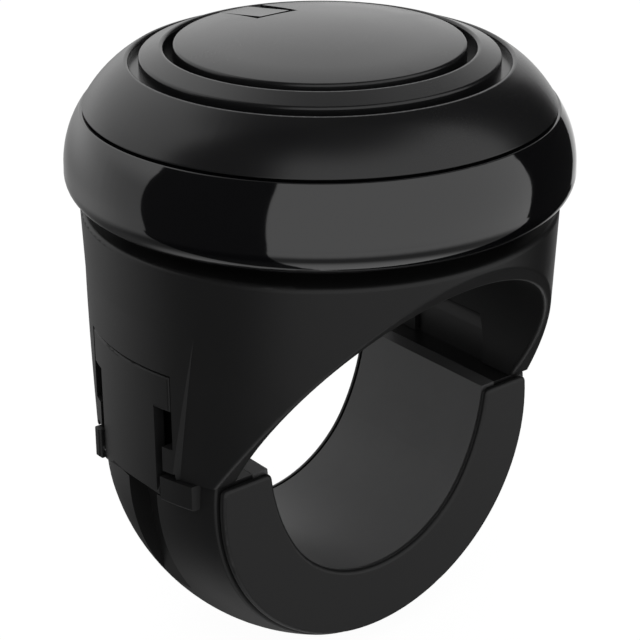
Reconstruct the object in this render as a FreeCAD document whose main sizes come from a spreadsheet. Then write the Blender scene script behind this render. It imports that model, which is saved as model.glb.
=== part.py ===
"""Steering wheel spinner knob with a hinged rim clamp and a flush latch.

Frame: origin at the centre of the clamp's ball-shaped body, which is also the centre of the lower
arc of the rim opening. Z is the knob's spin axis, Y runs along the steering wheel's rim, the latch
is at -X and the clamp's hinge is at +X. Millimetres.
"""
import FreeCAD
import Part
import Sketcher
import math
import os
import re

doc = FreeCAD.newDocument("SpinnerKnob")
sheet = doc.addObject("Spreadsheet::Sheet", "Sizes")
nodes = []

# Driving sizes: alias, value, meaning.
SIZES = [
    ("rim_arc", 13.0, "radius of the liner's lower arc, where the rim sits"),
    ("rim_arc_half_angle", 60.0, "half the angle of that arc, in degrees"),
    ("rim_flank_width", 9.0, "how much larger the radius of the opening's side arcs is"),
    ("split_height", 2.85, "height of the split between housing and clamp"),
    ("split_gap", 0.1, "gap left at the split"),
    ("clamp_inset", 0.38, "step from the housing's outside in to the clamp's"),
    ("clamp_half", 10.17, "half the clamp's width along the rim"),
    ("plate_proud", 0.82, "how far a side plate stands out of the arm"),
    ("plate_flange", 0.52, "thickness of a side plate's flange"),
    ("plate_seat", 1.2, "depth of the plate's seat in the arm"),
    ("plate_inset_width", 2.4, "step from the clamp's outside in to a side plate's edge"),
    ("plate_lip", 0.65, "step from the plate's flange in to its foot"),
    ("plate_round", 0.4, "rounding of the plate's front edges"),
    ("plate_corner", 0.7, "rounding of the plate's four corners"),
    ("plate_drop", 0.35, "how far the plate's ends lie below the split"),
    ("liner_wall", 1.8, "thickness of the rubber liner"),
    ("seat_gap", 0.05, "clearance between pieces that seat in each other"),
    ("move_gap", 0.3, "clearance between pieces that move past each other"),
    ("slot_gap", 0.2, "side clearance of the latch and the hinge tongue"),
    ("running_gap", 0.04, "radial clearance of a pin in a turning hole"),
    ("ceiling_thickness", 2.71, "housing above the arch's top, up to its top edge"),
    ("housing_flare_width", 0.81, "how much wider the housing is at its top edge than at the split"),
    ("housing_wall_thickness", 4.83, "housing wall beside the arch, at the split"),
    ("housing_round", 0.5, "rounding of the housing's top edge"),
    ("rim_space_width", 5.0, "step from the rim's radius out to the arch's radius"),
    ("arch_axis", 4.1, "height of the arch's axis"),
    ("foot_half", 9.7, "half of the housing's width at its feet"),
    ("slope_angle", 33.4, "angle of the housing's sloping front and rear to the vertical"),
    ("slope_round", 0.45, "rounding of the edges of the sloping front and rear"),
    ("neck_length", 2.29, "height of the neck above the housing's top edge"),
    ("neck_gap", 0.55, "space between the neck and the base's skirt"),
    ("boss_top", 18.5, "height where the latch boss runs out into the housing"),
    ("boss_rise", 0.5, "how far the latch boss stands out at the split"),
    ("boss_root_depth", 3.33, "depth of the latch boss's root plane in the housing"),
    ("boss_half_top", 11.5, "half width of the boss at its root, at the top"),
    ("boss_half_split", 9.1, "half width of the boss at its root, at the split"),
    ("boss_taper", 35.0, "slope of the boss's sides, in degrees"),
    ("hinge_wall_thickness", 2.6, "step from the arch out to the hinge pin's axis"),
    ("hinge_height", 6.4, "height of the hinge pin"),
    ("hinge_pin_radius", 1.0, "hinge pin radius"),
    ("knuckle_radius", 2.1, "radius of the arm's hinge knuckle"),
    ("tongue_half", 5.2, "half width of the hinge tongue"),
    ("hinge_pin_half", 7.6, "half length of the hinge pin"),
    ("hinge_relief", 0.4, "relief of the arm's end outside the hinge"),
    ("latch_shift", 1.3, "offset of the latch along the rim"),
    ("latch_top", 13.65, "height of the latch head's top edge"),
    ("latch_head_half", 6.9, "half width of the latch head"),
    ("latch_head_bottom", 10.0, "height of the head's shoulders"),
    ("latch_stem_half", 4.85, "half width of the latch stem"),
    ("latch_shell", 1.1, "thickness of the latch's curved face"),
    ("latch_spine_half", 3.2, "half width of the latch's spine"),
    ("spine_back_gap", 0.55, "space behind the latch's spine"),
    ("latch_round", 0.3, "rounding of the latch's outer edges"),
    ("recess_depth", 2.43, "depth of the latch's recess"),
    ("lug_top", 6.1, "height of the housing lugs beside the stem"),
    ("lug_half", 5.75, "half the space between those lugs"),
    ("lug_gap", 0.65, "space between a lug and the ear under it"),
    ("latch_pin_depth", 0.83, "depth of the latch pin's axis under the housing's outside"),
    ("latch_pin_height", 1.05, "height of the latch pin"),
    ("latch_pin_radius", 0.45, "latch pin radius"),
    ("barrel_radius", 0.95, "radius of the latch barrel"),
    ("barrel_half", 5.1, "half length of the latch barrel"),
    ("ear_end", 6.3, "distance from the latch's middle to the rear ear's end"),
    ("ear_reach", 0.85, "step from the latch pin's axis out to an ear's flat face"),
    ("channel_half", 2.4, "half width of the finger channel under the latch"),
    ("channel_top_depth", 1.75, "depth of the channel at the latch"),
    ("channel_run", 12.6, "how far below the split plane's level the channel runs out"),
    ("knob_gap", 1.78, "space between the housing's top edge and the knob's lower edge"),
    ("band_foot_width", 0.79, "step from the band's widest line in to its lower edge"),
    ("band_radius", 25.0, "largest radius of the knob"),
    ("band_widest_height", 2.11, "height of that widest line above the lower edge"),
    ("band_arc", 9.8, "curvature of the band above its widest line"),
    ("band_foot_arc", 2.4, "curvature of the band below its widest line"),
    ("parting_width", 1.75, "step from the widest line in to the seam between band and dome"),
    ("knob_headroom", 1.6, "space between the bearing and the dome's floor"),
    ("dome_arc", 12.0, "curvature of the dome"),
    ("dome_width", 4.89, "step from the seam in to the dome's inner edge"),
    ("seam_step_width", 0.2, "how far the band stands out of the dome at the seam"),
    ("seam_gap", 0.16, "width of the groove along the seam"),
    ("seam_depth", 0.7, "depth of that groove"),
    ("seam_round", 0.12, "rounding of the edges beside the seam"),
    ("dome_height", 4.75, "height of the dome's inner edge above the seam"),
    ("dome_recess_depth", 1.05, "depth of the dome's floor under its inner edge"),
    ("dome_plate", 1.2, "thickness of that floor"),
    ("dome_wall", 1.8, "thickness of the dome's wall"),
    ("dome_skirt", 3.2, "how far the dome's skirt reaches into the band"),
    ("dome_gusset", 1.6, "bevel inside the dome, under the floor"),
    ("dome_pilot", 5.0, "depth of the pilot holes in the dome's bosses"),
    ("ring_groove_width", 0.96, "groove between the dome and the trim ring"),
    ("ring_width", 2.4, "width of the trim ring"),
    ("ring_height", 1.21, "height of the ring's outer edge above the dome's floor"),
    ("ring_slope_height", 0.99, "rise of the ring's top from its outer to its inner edge"),
    ("disc_groove_width", 0.91, "groove between the ring and the cover disc"),
    ("disc_height", 2.32, "height of the disc's edge above the dome's floor"),
    ("disc_flat_radius", 0.8, "radius of the flat at the middle of the cover disc's crown"),
    ("disc_crown_height", 1.1, "how far the disc's middle stands above its edge"),
    ("small_round", 0.3, "rounding of the small visible edges"),
    ("tab_shift", 0.8, "offset of the ring's tab from the middle"),
    ("tab_notch_half", 2.5, "half width of the disc's notch"),
    ("tab_notch_length", 6.49, "length of the notch, from the disc's edge inward"),
    ("tab_half", 1.8, "half width of the tab"),
    ("tab_front_gap", 0.45, "gap at the end of the tab"),
    ("disc_peg_radius", 1.2, "radius of the disc's pegs"),
    ("disc_peg_depth", 5.09, "step from the disc's edge in to the circle of pegs"),
    ("base_floor_height", 1.01, "height of the base's underside above the knob's lower edge"),
    ("base_wall", 1.8, "thickness of the base's floor"),
    ("base_skirt_thickness", 2.25, "thickness of the base's skirt"),
    ("band_foot_thickness", 1.21, "wall of the band round the base"),
    ("band_ledge_width", 1.7, "width of the band's ledge on the base"),
    ("bearing_lip_height", 0.8, "height of the bearing's lower face above the base's underside"),
    ("bearing_width", 7.0, "width of the bearing"),
    ("bearing_outer", 11.0, "outer radius of the bearing"),
    ("bearing_bore", 4.0, "bore radius of the bearing"),
    ("outer_race_wall", 1.95, "thickness of the outer race"),
    ("inner_race_wall", 1.95, "thickness of the inner race"),
    ("ball_share", 0.283, "radius of a ball as a share of the bearing's width"),
    ("ball_gap", 0.06, "play of a ball in its groove"),
    ("cage_wall", 0.75, "half the cage's wall, and its margin under the balls"),
    ("cage_top", 1.1, "height of the cage above the balls' middle"),
    ("pocket_gap", 0.1, "play of a ball in the cage"),
    ("shield_wall", 0.3, "thickness of a bearing shield"),
    ("shield_gap", 0.15, "gap between a shield and the inner race"),
    ("hub_wall", 2.2, "wall of the bearing hub"),
    ("clip_width", 0.8, "thickness of the retaining rings"),
    ("clip_bite", 0.85, "how deep the outer retaining ring sits in its groove"),
    ("clip_reach", 1.3, "how far a retaining ring reaches over its race"),
    ("clip_gap_half", 1.5, "half the gap between a retaining ring's ends"),
    ("spindle_groove", 0.6, "depth of the groove in the spindle"),
    ("spindle_flange_radius", 8.0, "radius of the spindle's flange"),
    ("spindle_screw_radius", 2.5, "radius of the spindle screw"),
    ("spindle_head_radius", 4.2, "radius of the spindle screw's head"),
    ("spindle_head", 1.7, "height of the spindle screw's head"),
    ("screw_edge_width", 3.75, "step from the base's skirt in to the knob screws' circle"),
    ("screw_radius", 1.2, "radius of a knob screw"),
    ("screw_head_radius", 2.1, "radius of a knob screw's head"),
    ("screw_head", 1.4, "height of a knob screw's head"),
    ("screw_boss_radius", 3.0, "radius of the screw bosses"),
    ("base_boss_height", 3.0, "height of the base's screw bosses"),
    ("pad_wall", 1.2, "thickness of the pad in the arch's ceiling"),
    ("pad_half_angle", 24.0, "half the pad's angle, in degrees"),
    ("pad_half", 7.5, "half the pad's length along the rim"),
]
BALLS = 7
KNOB_SCREWS = 3
DISC_PEGS = 3

for row, (alias, value, note) in enumerate(SIZES, start=1):
    sheet.set("A%d" % row, alias)
    sheet.set("B%d" % row, str(value))
    sheet.set("C%d" % row, note)
    sheet.setAlias("B%d" % row, alias)
doc.recompute()


class Size:
    """A length that carries its number and the spreadsheet formula that gives it."""

    def __init__(self, number, text):
        self.number = float(number)
        self.text = text

    def __add__(self, other):
        return join(self, "+", other, lambda a, b: a + b)

    def __radd__(self, other):
        return join(other, "+", self, lambda a, b: a + b)

    def __sub__(self, other):
        return join(self, "-", other, lambda a, b: a - b)

    def __rsub__(self, other):
        return join(other, "-", self, lambda a, b: a - b)

    def __mul__(self, other):
        return join(self, "*", other, lambda a, b: a * b)

    def __rmul__(self, other):
        return join(other, "*", self, lambda a, b: a * b)

    def __truediv__(self, other):
        return join(self, "/", other, lambda a, b: a / b)

    def __neg__(self):
        return Size(-self.number, "(0 - %s)" % self.text)


def as_size(value):
    return value if isinstance(value, Size) else Size(value, repr(float(value)))


def join(left, sign, right, work):
    left, right = as_size(left), as_size(right)
    return Size(work(left.number, right.number), "(%s %s %s)" % (left.text, sign, right.text))


def root(value):
    return Size(math.sqrt(value.number), "sqrt(%s)" % value.text)


def sine(degrees):
    return Size(math.sin(math.radians(degrees.number)), "sin(%s * 1 deg)" % degrees.text)


def cosine(degrees):
    return Size(math.cos(math.radians(degrees.number)), "cos(%s * 1 deg)" % degrees.text)


class Sheet:
    """Reads a size by its name: one of the sheet's own, or one that follows from them."""

    def __getattr__(self, alias):
        if alias in FOLLOWING:
            return FOLLOWING[alias]()
        return Size(sheet.get(alias), "Sizes.%s" % alias)


S = Sheet()

# Sizes that follow from others, so that neighbouring pieces keep their fit when one of them changes.
FOLLOWING = {
    "rim_flank": lambda: S.rim_arc + S.rim_flank_width,
    "arch_radius": lambda: S.rim_arc + S.rim_space_width,
    "housing_split_radius": lambda: S.arch_radius + S.housing_wall_thickness,
    "housing_top_radius": lambda: S.housing_split_radius + S.housing_flare_width,
    "housing_reach": lambda: S.housing_top_radius + S.housing_wall_thickness,
    "housing_top": lambda: S.arch_axis + S.arch_radius + S.ceiling_thickness,
    "neck_radius": lambda: S.base_skirt - S.neck_gap,
    "neck_top": lambda: S.housing_top + S.neck_length,
    "clamp_sphere": lambda: S.housing_split_radius - S.clamp_inset,
    "plate_rim": lambda: S.clamp_sphere - S.plate_inset_width,
    "boss_root": lambda: S.housing_split_radius - S.boss_root_depth,
    "hinge_out": lambda: S.arch_radius + S.hinge_wall_thickness,
    "recess_floor": lambda: S.housing_split_radius - S.recess_depth,
    "latch_spine_back": lambda: S.recess_floor + S.spine_back_gap,
    "latch_pin_out": lambda: S.housing_split_radius - S.latch_pin_depth,
    "knob_bottom": lambda: S.housing_top + S.knob_gap,
    "band_foot_radius": lambda: S.band_radius - S.band_foot_width,
    "band_widest": lambda: S.knob_bottom + S.band_widest_height,
    "parting_radius": lambda: S.band_radius - S.parting_width,
    "parting_height": lambda: S.dome_edge_height - S.dome_height,
    "dome_edge_radius": lambda: S.parting_radius - S.dome_width,
    "dome_edge_height": lambda: S.dome_floor + S.dome_recess_depth,
    "dome_floor": lambda: S.bearing_bottom + S.bearing_width + S.knob_headroom + S.dome_plate,
    "ring_outer": lambda: S.dome_edge_radius - S.ring_groove_width,
    "ring_inner": lambda: S.ring_outer - S.ring_width,
    "ring_outer_top": lambda: S.dome_floor + S.ring_height,
    "ring_inner_top": lambda: S.ring_outer_top + S.ring_slope_height,
    "disc_radius": lambda: S.ring_inner - S.disc_groove_width,
    "disc_peg_circle": lambda: S.disc_radius - S.disc_peg_depth,
    "disc_edge": lambda: S.dome_floor + S.disc_height,
    "tab_notch_front": lambda: S.disc_radius - S.tab_notch_length,
    "base_floor": lambda: S.knob_bottom + S.base_floor_height,
    "band_seat": lambda: S.band_foot_radius - S.band_foot_thickness,
    "base_skirt": lambda: S.band_seat - S.base_skirt_thickness,
    "band_inner": lambda: S.band_seat - S.band_ledge_width,
    "bearing_bottom": lambda: S.base_floor + S.bearing_lip_height,
    "ball_radius": lambda: S.bearing_width * S.ball_share,
    "screw_circle": lambda: S.base_skirt - S.screw_edge_width,
    "boss_joint": lambda: S.base_floor + S.base_boss_height,
}


def bind(thing, prop, size):
    """Ties one property of an object to its formula."""
    thing.setExpression(prop, as_size(size).text)


# Sketches: every corner is placed by its own two formulas.

def arc(x, y, radius, turn):
    """One curved side of an outline: its end, its radius and +1 for a left turn or -1 for a right."""
    return (x, y, radius, turn)


def pin_point(sketch, element, end, x, y):
    for kind, axis, value in (("DistanceX", -2, as_size(x)), ("DistanceY", -1, as_size(y))):
        if abs(value.number) < 1e-9:
            sketch.addConstraint(Sketcher.Constraint("PointOnObject", element, end, axis))
            continue
        rule = sketch.addConstraint(Sketcher.Constraint(kind, -1, 1, element, end, value.number))
        bind(sketch, "Constraints[%d]" % rule, value)


def outline(sketch, corners):
    """Draws one closed outline of straight and curved sides."""
    ends = [tuple(as_size(c).number for c in corner[:2]) for corner in corners]
    first = sketch.GeometryCount
    joints = []
    for index, corner in enumerate(corners):
        start, stop = ends[index - 1], ends[index]
        a, b = FreeCAD.Vector(*start, 0), FreeCAD.Vector(*stop, 0)
        if len(corner) == 2:
            sketch.addGeometry(Part.LineSegment(a, b), False)
            joints.append((1, 2))
            continue
        radius, turn = as_size(corner[2]), corner[3]
        chord = b - a
        rise = math.sqrt(max(radius.number ** 2 - (chord.Length / 2) ** 2, 0.0))
        left = FreeCAD.Vector(-chord.y, chord.x, 0).normalize()
        centre = (a + b) / 2 + left * rise * turn
        from_end, to_end = (a, b) if turn > 0 else (b, a)
        low = math.atan2(from_end.y - centre.y, from_end.x - centre.x)
        high = math.atan2(to_end.y - centre.y, to_end.x - centre.x)
        circle = Part.Circle(centre, FreeCAD.Vector(0, 0, 1), radius.number)
        sketch.addGeometry(Part.ArcOfCircle(circle, low, high if high > low else high + 2 * math.pi), False)
        joints.append((1, 2) if turn > 0 else (2, 1))
    count = len(corners)
    for index in range(count):
        after = (index + 1) % count
        sketch.addConstraint(Sketcher.Constraint(
            "Coincident", first + index, joints[index][1], first + after, joints[after][0]))
    for index, corner in enumerate(corners):
        pin_point(sketch, first + index, joints[index][1], corner[0], corner[1])
        if len(corner) > 2:
            radius = as_size(corner[2])
            rule = sketch.addConstraint(Sketcher.Constraint("Radius", first + index, radius.number))
            bind(sketch, "Constraints[%d]" % rule, radius)


def ring_outline(sketch, x, y, radius):
    """Draws one circle."""
    x, y, radius = as_size(x), as_size(y), as_size(radius)
    centre = FreeCAD.Vector(x.number, y.number, 0)
    element = sketch.addGeometry(Part.Circle(centre, FreeCAD.Vector(0, 0, 1), radius.number), False)
    pin_point(sketch, element, 3, x, y)
    rule = sketch.addConstraint(Sketcher.Constraint("Radius", element, radius.number))
    bind(sketch, "Constraints[%d]" % rule, radius)


def new_body(label):
    body = doc.addObject("PartDesign::Body", label)
    body.Label = label
    return body


def new_sketch(body, plane, offset=None):
    """Adds a sketch on one of the body's own origin planes."""
    support = next(f for f in body.Origin.OriginFeatures if f.Role == plane)
    sketch = body.newObject("Sketcher::SketchObject", body.Label + "_sketch")
    sketch.AttachmentSupport = [(support, "")]
    sketch.MapMode = "FlatFace"
    if offset is not None:
        bind(sketch, "AttachmentOffset.Base.z", offset)
    sketch.Visibility = False
    return sketch


def feature(body, kind, sketch):
    made = body.newObject("PartDesign::" + kind, body.Label + "_" + kind.lower())
    made.Profile = sketch
    return made


def revolve(body, corners, groove=False):
    """Turns an outline of radii and heights round the spin axis."""
    sketch = new_sketch(body, "XZ_Plane")
    outline(sketch, corners)
    made = feature(body, "Groove" if groove else "Revolution", sketch)
    made.ReferenceAxis = (sketch, ["V_Axis"])
    made.Angle = 360
    doc.recompute()
    return made


def pad(body, plane, corners, length, offset=None, symmetric=False, reverse=False, cut=False, circles=()):
    """Pads or pockets an outline or circles drawn on an origin plane."""
    sketch = new_sketch(body, plane, offset)
    if corners:
        outline(sketch, corners)
    for circle in circles:
        ring_outline(sketch, *circle)
    made = feature(body, "Pocket" if cut else "Pad", sketch)
    made.SideType = "Symmetric" if symmetric else "One side"
    bind(made, "Length", length)
    made.Reversed = reverse
    before = body.Shape.Volume if cut else 0.0
    doc.recompute()
    if cut and not made.Shape.Volume < before - 1e-3:
        raise RuntimeError("%s: a pocket removed nothing" % body.Label)
    return made


def pattern(body, original, count):
    """Repeats one feature round the spin axis."""
    made = body.newObject("PartDesign::PolarPattern", body.Label + "_pattern")
    made.Originals = [original]
    made.Axis = (original.Profile[0], ["N_Axis"])
    made.Angle = 360
    made.Occurrences = count
    body.Tip = made
    doc.recompute()
    return made


def round_edges(body, radius, chosen, bevel=False):
    """Rounds or bevels the edges of the body's latest shape that the test picks."""
    base = body.Tip
    names = ["Edge%d" % (i + 1) for i, edge in enumerate(base.Shape.Edges) if chosen(edge)]
    if not names:
        raise RuntimeError("%s: no edge to round" % body.Label)
    made = body.newObject("PartDesign::Chamfer" if bevel else "PartDesign::Fillet", body.Label + "_round")
    made.Base = (base, names)
    bind(made, "Size" if bevel else "Radius", radius)
    doc.recompute()
    return made


def boolean(kind, label, base, *tools):
    """Joins, cuts or intersects finished objects."""
    if kind == "Cut" and len(tools) > 1:
        tools = [boolean("MultiFuse", label + "_tools", *tools)]
    made = doc.addObject("Part::" + kind, label)
    if kind == "MultiFuse":
        made.Shapes = [base, *tools]
    else:
        made.Base, made.Tool = base, tools[0]
    made.Label = label
    doc.recompute()
    return made


def fillet_solid(label, base, radius, chosen):
    """Rounds edges of a boolean result."""
    picked = [i + 1 for i, edge in enumerate(base.Shape.Edges) if chosen(edge)]
    if not picked:
        raise RuntimeError("%s: no edge to round" % label)
    made = doc.addObject("Part::Fillet", label)
    made.Base = base
    both = (radius.number, radius.number)
    made.Edges = [(i, *both) for i in picked]
    made.Label = label
    doc.recompute()
    return made


def block(label, low, high):
    """A box between two corners."""
    made = doc.addObject("Part::Box", label)
    for prop, a, b in zip(("Length", "Width", "Height"), low, high):
        bind(made, prop, as_size(b) - a)
    for prop, a in zip("xyz", low):
        bind(made, "Placement.Base." + prop, a)
    doc.recompute()
    return made


def rod(label, x, y, z, radius, length, along="Z"):
    """A cylinder from a point, along +Y or +Z."""
    made = doc.addObject("Part::Cylinder", label)
    bind(made, "Radius", radius)
    bind(made, "Height", length)
    if along == "Y":
        made.Placement.Rotation = FreeCAD.Rotation(FreeCAD.Vector(1, 0, 0), -90)
    for prop, value in zip("xyz", (x, y, z)):
        bind(made, "Placement.Base." + prop, value)
    doc.recompute()
    return made


def frustum(label, low_radius, high_radius, low, high):
    """A cone round the spin axis between two heights."""
    made = doc.addObject("Part::Cone", label)
    bind(made, "Radius1", low_radius)
    bind(made, "Radius2", high_radius)
    bind(made, "Height", as_size(high) - low)
    bind(made, "Placement.Base.z", low)
    doc.recompute()
    return made


def ball(label, radius, x=0.0, y=0.0, z=0.0):
    made = doc.addObject("Part::Sphere", label)
    bind(made, "Radius", radius)
    for prop, value in zip("xyz", (x, y, z)):
        bind(made, "Placement.Base." + prop, value)
    doc.recompute()
    return made


def keep(thing, label):
    """Names a finished piece, which its file is called after."""
    for other in doc.getObjectsByLabel(label):
        other.Label = label + "_base"
    thing.Label = label
    nodes.append(thing)
    return thing


def lies_at(edge, **limits):
    """True where the edge's box lies within the given limits, such as z=(1, 2)."""
    box = edge.BoundBox
    spans = {"x": (box.XMin, box.XMax), "y": (box.YMin, box.YMax), "z": (box.ZMin, box.ZMax)}
    return all(low - 1e-3 <= spans[axis][0] and spans[axis][1] <= high + 1e-3
               for axis, (low, high) in limits.items())


# The rim opening: a lower arc about the origin and two side arcs tangent to it.

def opening_side(wall, top):
    """Lower tangent point, side centre and upper end of the opening, moved out by a wall."""
    lower_x = (S.rim_arc + wall) * sine(S.rim_arc_half_angle)
    lower_z = -((S.rim_arc + wall) * cosine(S.rim_arc_half_angle))
    centre_x = (S.rim_arc - S.rim_flank) * sine(S.rim_arc_half_angle)
    centre_z = (S.rim_flank - S.rim_arc) * cosine(S.rim_arc_half_angle)
    flank = S.rim_flank + wall
    upper_x = centre_x + root(flank * flank - (top - centre_z) * (top - centre_z))
    return lower_x, lower_z, upper_x, flank


def opening_corners(wall, top):
    """The opening's outline, closed straight across at a height."""
    lower_x, lower_z, upper_x, flank = opening_side(wall, top)
    inner = S.rim_arc + wall
    return [
        (-upper_x, top),
        arc(-lower_x, lower_z, flank, 1),
        arc(lower_x, lower_z, inner, 1),
        arc(upper_x, top, flank, 1),
    ]


def strip_corners(inner_wall, outer_wall, top):
    """A strip round the opening between two walls."""
    in_x, in_z, in_top, in_flank = opening_side(inner_wall, top)
    out_x, out_z, out_top, out_flank = opening_side(outer_wall, top)
    return [
        (in_top, top),
        arc(in_x, in_z, in_flank, -1),
        arc(-in_x, in_z, S.rim_arc + inner_wall, -1),
        arc(-in_top, top, in_flank, -1),
        (-out_top, top),
        arc(-out_x, out_z, out_flank, 1),
        arc(out_x, out_z, S.rim_arc + outer_wall, 1),
        arc(out_top, top, out_flank, 1),
    ]


def crescent_corners(inner_wall, rim, top):
    """A C shape between the opening's outline and a circle about the origin."""
    in_x, in_z, in_top, in_flank = opening_side(inner_wall, top)
    out_top = root(rim * rim - top * top)
    return [
        (in_top, top),
        arc(in_x, in_z, in_flank, -1),
        arc(-in_x, in_z, S.rim_arc + inner_wall, -1),
        arc(-in_top, top, in_flank, -1),
        (-out_top, top),
        arc(0.0, -rim, rim, 1),
        arc(out_top, top, rim, 1),
    ]


# Knob: dome, gloss band, base, ring, disc and what they hold.

def make_dome_cap():
    body = new_body("dome_cap")
    floor_low = S.dome_floor - S.dome_plate
    skirt_outer = S.band_inner - S.seat_gap
    skirt_inner = skirt_outer - S.dome_wall
    skirt_low = S.parting_height - S.dome_skirt
    dome_rim = S.parting_radius - S.seam_step_width
    groove_floor = dome_rim - S.seam_depth
    revolve(body, [
        (0.0, S.dome_floor),
        (0.0, floor_low),
        (skirt_inner - S.dome_gusset, floor_low),
        (skirt_inner, floor_low - S.dome_gusset),
        (skirt_inner, skirt_low),
        (skirt_outer, skirt_low),
        (skirt_outer, S.parting_height),
        (groove_floor, S.parting_height),
        (groove_floor, S.parting_height + S.seam_gap),
        (dome_rim, S.parting_height + S.seam_gap),
        arc(S.dome_edge_radius, S.dome_edge_height, S.dome_arc, 1),
        (S.dome_edge_radius, S.dome_floor),
    ])
    edge_circle = 2 * math.pi * S.dome_edge_radius.number
    round_edges(body, S.small_round, lambda e: abs(e.Length - edge_circle) < 0.01
                and lies_at(e, z=(S.dome_edge_height.number, S.dome_edge_height.number)))
    rim_circle = 2 * math.pi * dome_rim.number
    round_edges(body, S.seam_round, lambda e: abs(e.Length - rim_circle) < 0.01)
    boss = pad(body, "XY_Plane", None, floor_low - S.boss_joint + 0.2, offset=S.boss_joint,
               circles=[(S.screw_circle, 0.0, S.screw_boss_radius)])
    pattern(body, boss, KNOB_SCREWS)
    pilot = pad(body, "XY_Plane", None, S.dome_pilot, offset=S.boss_joint, reverse=True,
                cut=True, circles=[(S.screw_circle, 0.0, S.screw_radius)])
    pattern(body, pilot, KNOB_SCREWS)
    peg_hole = pad(body, "XY_Plane", None, S.dome_plate + 1.0, offset=S.dome_floor + 0.5, cut=True,
                   circles=[(0.0, -S.disc_peg_circle, S.disc_peg_radius + S.seat_gap)])
    pattern(body, peg_hole, DISC_PEGS)
    return keep(body, "dome_cap")


def make_gloss_band():
    body = new_body("gloss_band")
    ledge = S.base_floor + S.base_wall + S.seat_gap
    fit = S.band_seat + S.seat_gap
    revolve(body, [
        (S.band_inner, S.parting_height),
        (S.band_inner, ledge),
        (fit, ledge),
        (fit, S.knob_bottom),
        (S.band_foot_radius, S.knob_bottom),
        arc(S.band_radius, S.band_widest, S.band_foot_arc, 1),
        arc(S.parting_radius, S.parting_height, S.band_arc, 1),
    ])
    seam_circle = 2 * math.pi * S.parting_radius.number
    round_edges(body, S.seam_round, lambda e: abs(e.Length - seam_circle) < 0.01
                and lies_at(e, z=(S.parting_height.number, S.parting_height.number)))
    return keep(body, "gloss_band")


def make_knob_base():
    body = new_body("knob_base")
    hub_inner = S.bearing_outer + S.seat_gap
    hub_outer = hub_inner + S.hub_wall
    hub_top = S.bearing_bottom + S.bearing_width + S.clip_width + 0.5
    floor_top = S.base_floor + S.base_wall
    race_lip = S.bearing_outer - 1.4
    revolve(body, [
        (race_lip, S.base_floor),
        (S.base_skirt, S.base_floor),
        (S.base_skirt, S.knob_bottom + 0.15),
        (S.band_seat, S.knob_bottom + 0.15),
        (S.band_seat, floor_top),
        (hub_outer, floor_top),
        (hub_outer, hub_top),
        (hub_inner, hub_top),
        (hub_inner, S.bearing_bottom),
        (race_lip, S.bearing_bottom),
    ])
    clip_low = S.bearing_bottom + S.bearing_width + S.seat_gap
    revolve(body, [
        (hub_inner - 0.2, clip_low),
        (hub_inner + S.clip_bite + S.seat_gap, clip_low),
        (hub_inner + S.clip_bite + S.seat_gap, clip_low + S.clip_width),
        (hub_inner - 0.2, clip_low + S.clip_width),
    ], groove=True)
    boss = pad(body, "XY_Plane", None, S.boss_joint - S.base_floor, offset=S.base_floor,
               circles=[(S.screw_circle, 0.0, S.screw_boss_radius)])
    pattern(body, boss, KNOB_SCREWS)
    head = pad(body, "XY_Plane", None, S.screw_head + 0.2, offset=S.base_floor, reverse=True, cut=True,
               circles=[(S.screw_circle, 0.0, S.screw_head_radius + 0.1)])
    pattern(body, head, KNOB_SCREWS)
    hole = pad(body, "XY_Plane", None, S.boss_joint - S.base_floor + 1.0, offset=S.base_floor, reverse=True,
               cut=True, circles=[(S.screw_circle, 0.0, S.screw_radius + 0.1)])
    pattern(body, hole, KNOB_SCREWS)
    return keep(body, "knob_base")


def make_trim_ring():
    body = new_body("trim_ring")
    tab_front = S.tab_notch_front + S.tab_front_gap
    share = tab_front / S.disc_radius
    tab_top = S.disc_edge + S.disc_crown_height * (1.0 - share * share)
    revolve(body, [
        (S.ring_inner, S.dome_floor),
        (S.ring_outer, S.dome_floor),
        (S.ring_outer, S.ring_outer_top),
        (S.ring_inner, S.ring_inner_top),
    ])
    round_edges(body, S.small_round, lambda e: lies_at(e, z=(S.ring_outer_top.number, S.ring_inner_top.number))
                and e.Length > S.ring_inner.number)
    pad(body, "XY_Plane", [
        (S.tab_shift - S.tab_half, tab_front),
        (S.tab_shift + S.tab_half, tab_front),
        (S.tab_shift + S.tab_half, S.ring_inner + 0.6),
        (S.tab_shift - S.tab_half, S.ring_inner + 0.6),
    ], S.ring_height, offset=S.dome_floor)
    pad(body, "YZ_Plane", [
        (tab_front, S.dome_floor + S.ring_height / 2),
        (S.ring_inner + 0.3, S.dome_floor + S.ring_height / 2),
        (S.ring_inner + 0.3, S.ring_inner_top - 0.3),
        (S.ring_inner, S.ring_inner_top - 0.2),
        (tab_front, tab_top),
    ], 2 * S.tab_half, offset=S.tab_shift - S.tab_half)
    return keep(body, "trim_ring")


def crown_height(radius):
    """Height of the disc's crown at a radius."""
    share = radius / S.disc_radius
    return S.disc_edge + S.disc_crown_height * (1 - share * share)


def crown_arc(outer, inner):
    """Arc of the crown from one radius in to another, centred on the knob's axis."""
    outer_height, inner_height = crown_height(outer), crown_height(inner)
    rise = inner_height - outer_height
    drop = (outer * outer - inner * inner - rise * rise) / (2 * rise)
    return arc(inner, inner_height, root(outer * outer + drop * drop), 1)


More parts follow.
